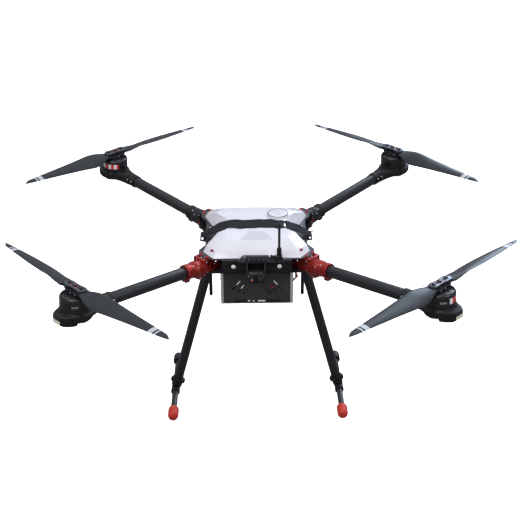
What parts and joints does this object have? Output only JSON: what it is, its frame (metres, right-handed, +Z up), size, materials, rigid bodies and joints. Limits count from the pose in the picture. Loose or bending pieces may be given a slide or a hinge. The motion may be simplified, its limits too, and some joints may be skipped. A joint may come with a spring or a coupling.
{
  "type": "folding quadcopter carrier drone",
  "caption": "Folding four-rotor farm work drone with carbon arms, two-blade folding propellers, a payload box under its deck and splayed skid legs.",
  "frame": {"origin": "on the ground, under the middle of the airframe", "axes": "+Z up; the nose, with the camera and lights, points along -Y; +X is to the viewer's right when looking at the nose"},
  "size_m": [1.2437, 1.2324, 0.5687],
  "materials": {
    "carbon_tube": "satin wound carbon fibre tube",
    "carbon_plate": "satin twill carbon fibre sheet",
    "red_anodised": "dark red anodised, satin",
    "black_anodised": "black anodised, satin",
    "motor_can": "grey-black anodised, satin",
    "blade": "satin blue-grey moulded carbon nylon",
    "white_shell": "semi-gloss white moulded shell",
    "webbing": "black woven nylon webbing",
    "grey_anodised": "dark grey anodised, satin",
    "black_plastic": "black moulded plastic",
    "aluminium_sheet": "brushed folded sheet",
    "battery_wrap": "dark blue shrink wrap",
    "coral_rubber": "matt coral rubber"
  },
  "bodies": {
    "airframe": {"top_plate": "carbon_plate", "bottom_plate": "carbon_plate", "canopy": "white_shell", "battery_strap": "webbing", "gps_puck": "white_shell", "front_beam": "black_anodised", "accessory_rail": "grey_anodised", "box_tray": "aluminium_sheet", "box_front_panel": "carbon_plate", "box_rear_panel": "carbon_plate", "battery": "battery_wrap", "flight_controller": "black_plastic", "fold_bracket_fl": "red_anodised", "fold_bracket_fr": "red_anodised", "fold_bracket_rl": "red_anodised", "fold_bracket_rr": "red_anodised", "leg_left": "carbon_tube", "leg_tee_left": "black_plastic", "skid_left": "carbon_tube", "foot_cap_left": "coral_rubber", "leg_right": "carbon_tube", "leg_tee_right": "black_plastic", "skid_right": "carbon_tube", "foot_cap_right": "coral_rubber"},
    "arm_fl": {"arm_tube_fl": "carbon_tube", "fold_sleeve_fl": "red_anodised", "motor_mount_fl": "black_anodised"},
    "collar_fl": {"lock_collar_fl": "red_anodised"},
    "rotor_fl": {"motor_bell_fl": "motor_can", "prop_hub_fl": "black_anodised"},
    "blade_a_fl": {"blade_a_fl": "blade"},
    "blade_b_fl": {"blade_b_fl": "blade"},
    "arm_fr": {"arm_tube_fr": "carbon_tube", "fold_sleeve_fr": "red_anodised", "motor_mount_fr": "black_anodised"},
    "collar_fr": {"lock_collar_fr": "red_anodised"},
    "rotor_fr": {"motor_bell_fr": "motor_can", "prop_hub_fr": "black_anodised"},
    "blade_a_fr": {"blade_a_fr": "blade"},
    "blade_b_fr": {"blade_b_fr": "blade"},
    "arm_rl": {"arm_tube_rl": "carbon_tube", "fold_sleeve_rl": "black_anodised", "motor_mount_rl": "black_anodised"},
    "collar_rl": {"lock_collar_rl": "black_anodised"},
    "rotor_rl": {"motor_bell_rl": "motor_can", "prop_hub_rl": "black_anodised"},
    "blade_a_rl": {"blade_a_rl": "blade"},
    "blade_b_rl": {"blade_b_rl": "blade"},
    "arm_rr": {"arm_tube_rr": "carbon_tube", "fold_sleeve_rr": "black_anodised", "motor_mount_rr": "black_anodised"},
    "collar_rr": {"lock_collar_rr": "black_anodised"},
    "rotor_rr": {"motor_bell_rr": "motor_can", "prop_hub_rr": "black_anodised"},
    "blade_a_rr": {"blade_a_rr": "blade"},
    "blade_b_rr": {"blade_b_rr": "blade"},
    "camera_head": {"camera": "black_plastic"},
    "whip": {"antenna_whip": "black_plastic"},
    "stick_left": {"datalink_antenna_left": "black_plastic"},
    "stick_right": {"datalink_antenna_right": "black_plastic"}
  },
  "joints": [
    {"name": "arm_fold_fl", "type": "hinge", "parent": "airframe", "child": "arm_fl", "pos_m": [-0.14518, -0.14518, 0.41835], "axis": [0.7071, -0.7071, 0], "range_deg": [0, 72]},
    {"name": "collar_turn_fl", "type": "hinge", "parent": "arm_fl", "child": "collar_fl", "pos_m": [-0.14354, -0.14354, 0.44325], "axis": [-0.7041, -0.7041, 0.0924], "range_deg": [0, 30]},
    {"name": "rotor_spin_fl", "type": "hinge", "parent": "arm_fl", "child": "rotor_fl", "pos_m": [-0.39902, -0.39902, 0.532], "axis": [0.0653, 0.0653, 0.9957], "continuous": true},
    {"name": "blade_fold_a_fl", "type": "hinge", "parent": "rotor_fl", "child": "blade_a_fl", "pos_m": [-0.41425, -0.38314, 0.53196], "axis": [0.0653, 0.0653, 0.9957], "range_deg": [-75, 75]},
    {"name": "blade_fold_b_fl", "type": "hinge", "parent": "rotor_fl", "child": "blade_b_fl", "pos_m": [-0.38379, -0.4149, 0.53204], "axis": [0.0653, 0.0653, 0.9957], "range_deg": [-75, 75]},
    {"name": "arm_fold_fr", "type": "hinge", "parent": "airframe", "child": "arm_fr", "pos_m": [0.14517, -0.14518, 0.41835], "axis": [0.7071, 0.7071, 0], "range_deg": [0, 72]},
    {"name": "collar_turn_fr", "type": "hinge", "parent": "arm_fr", "child": "collar_fr", "pos_m": [0.14354, -0.14354, 0.44325], "axis": [0.7041, -0.7041, 0.0924], "range_deg": [0, 30]},
    {"name": "rotor_spin_fr", "type": "hinge", "parent": "arm_fr", "child": "rotor_fr", "pos_m": [0.39902, -0.39902, 0.532], "axis": [-0.0653, 0.0653, 0.9957], "continuous": true},
    {"name": "blade_fold_a_fr", "type": "hinge", "parent": "rotor_fr", "child": "blade_a_fr", "pos_m": [0.415, -0.3839, 0.53206], "axis": [-0.0653, 0.0653, 0.9957], "range_deg": [-75, 75]},
    {"name": "blade_fold_b_fr", "type": "hinge", "parent": "rotor_fr", "child": "blade_b_fr", "pos_m": [0.38304, -0.41414, 0.53194], "axis": [-0.0653, 0.0653, 0.9957], "range_deg": [-75, 75]},
    {"name": "arm_fold_rl", "type": "hinge", "parent": "airframe", "child": "arm_rl", "pos_m": [-0.14518, 0.14518, 0.41835], "axis": [-0.7071, -0.7071, 0], "range_deg": [0, 72]},
    {"name": "collar_turn_rl", "type": "hinge", "parent": "arm_rl", "child": "collar_rl", "pos_m": [-0.14354, 0.14354, 0.44325], "axis": [-0.7041, 0.7041, 0.0924], "range_deg": [0, 30]},
    {"name": "rotor_spin_rl", "type": "hinge", "parent": "arm_rl", "child": "rotor_rl", "pos_m": [-0.39902, 0.39902, 0.532], "axis": [0.0653, -0.0653, 0.9957], "continuous": true},
    {"name": "blade_fold_a_rl", "type": "hinge", "parent": "rotor_rl", "child": "blade_a_rl", "pos_m": [-0.38309, 0.41419, 0.53195], "axis": [0.0653, -0.0653, 0.9957], "range_deg": [-75, 75]},
    {"name": "blade_fold_b_rl", "type": "hinge", "parent": "rotor_rl", "child": "blade_b_rl", "pos_m": [-0.41495, 0.38385, 0.53205], "axis": [0.0653, -0.0653, 0.9957], "range_deg": [-75, 75]},
    {"name": "arm_fold_rr", "type": "hinge", "parent": "airframe", "child": "arm_rr", "pos_m": [0.14518, 0.14518, 0.41835], "axis": [-0.7071, 0.7071, 0], "range_deg": [0, 72]},
    {"name": "collar_turn_rr", "type": "hinge", "parent": "arm_rr", "child": "collar_rr", "pos_m": [0.14354, 0.14354, 0.44325], "axis": [0.7041, 0.7041, 0.0924], "range_deg": [0, 30]},
    {"name": "rotor_spin_rr", "type": "hinge", "parent": "arm_rr", "child": "rotor_rr", "pos_m": [0.39902, 0.39902, 0.532], "axis": [-0.0653, -0.0653, 0.9957], "continuous": true},
    {"name": "blade_fold_a_rr", "type": "hinge", "parent": "rotor_rr", "child": "blade_a_rr", "pos_m": [0.3839, 0.415, 0.53206], "axis": [-0.0653, -0.0653, 0.9957], "range_deg": [-75, 75]},
    {"name": "blade_fold_b_rr", "type": "hinge", "parent": "rotor_rr", "child": "blade_b_rr", "pos_m": [0.41414, 0.38304, 0.53194], "axis": [-0.0653, -0.0653, 0.9957], "range_deg": [-75, 75]},
    {"name": "camera_tilt", "type": "hinge", "parent": "airframe", "child": "camera_head", "pos_m": [-0.0025, -0.1835, 0.44], "axis": [1, 0, 0], "range_deg": [-30, 30]},
    {"name": "whip_fold", "type": "hinge", "parent": "airframe", "child": "whip", "pos_m": [0.054, -0.1605, 0.4845], "axis": [1, 0, 0], "range_deg": [-60, 60]},
    {"name": "stick_swing_left", "type": "hinge", "parent": "airframe", "child": "stick_left", "pos_m": [-0.1175, -0.05, 0.4235], "axis": [-1, 0, 0], "range_deg": [0, 75]},
    {"name": "stick_swing_right", "type": "hinge", "parent": "airframe", "child": "stick_right", "pos_m": [0.1175, -0.05, 0.4235], "axis": [-1, 0, 0], "range_deg": [0, 75]}
  ]
}
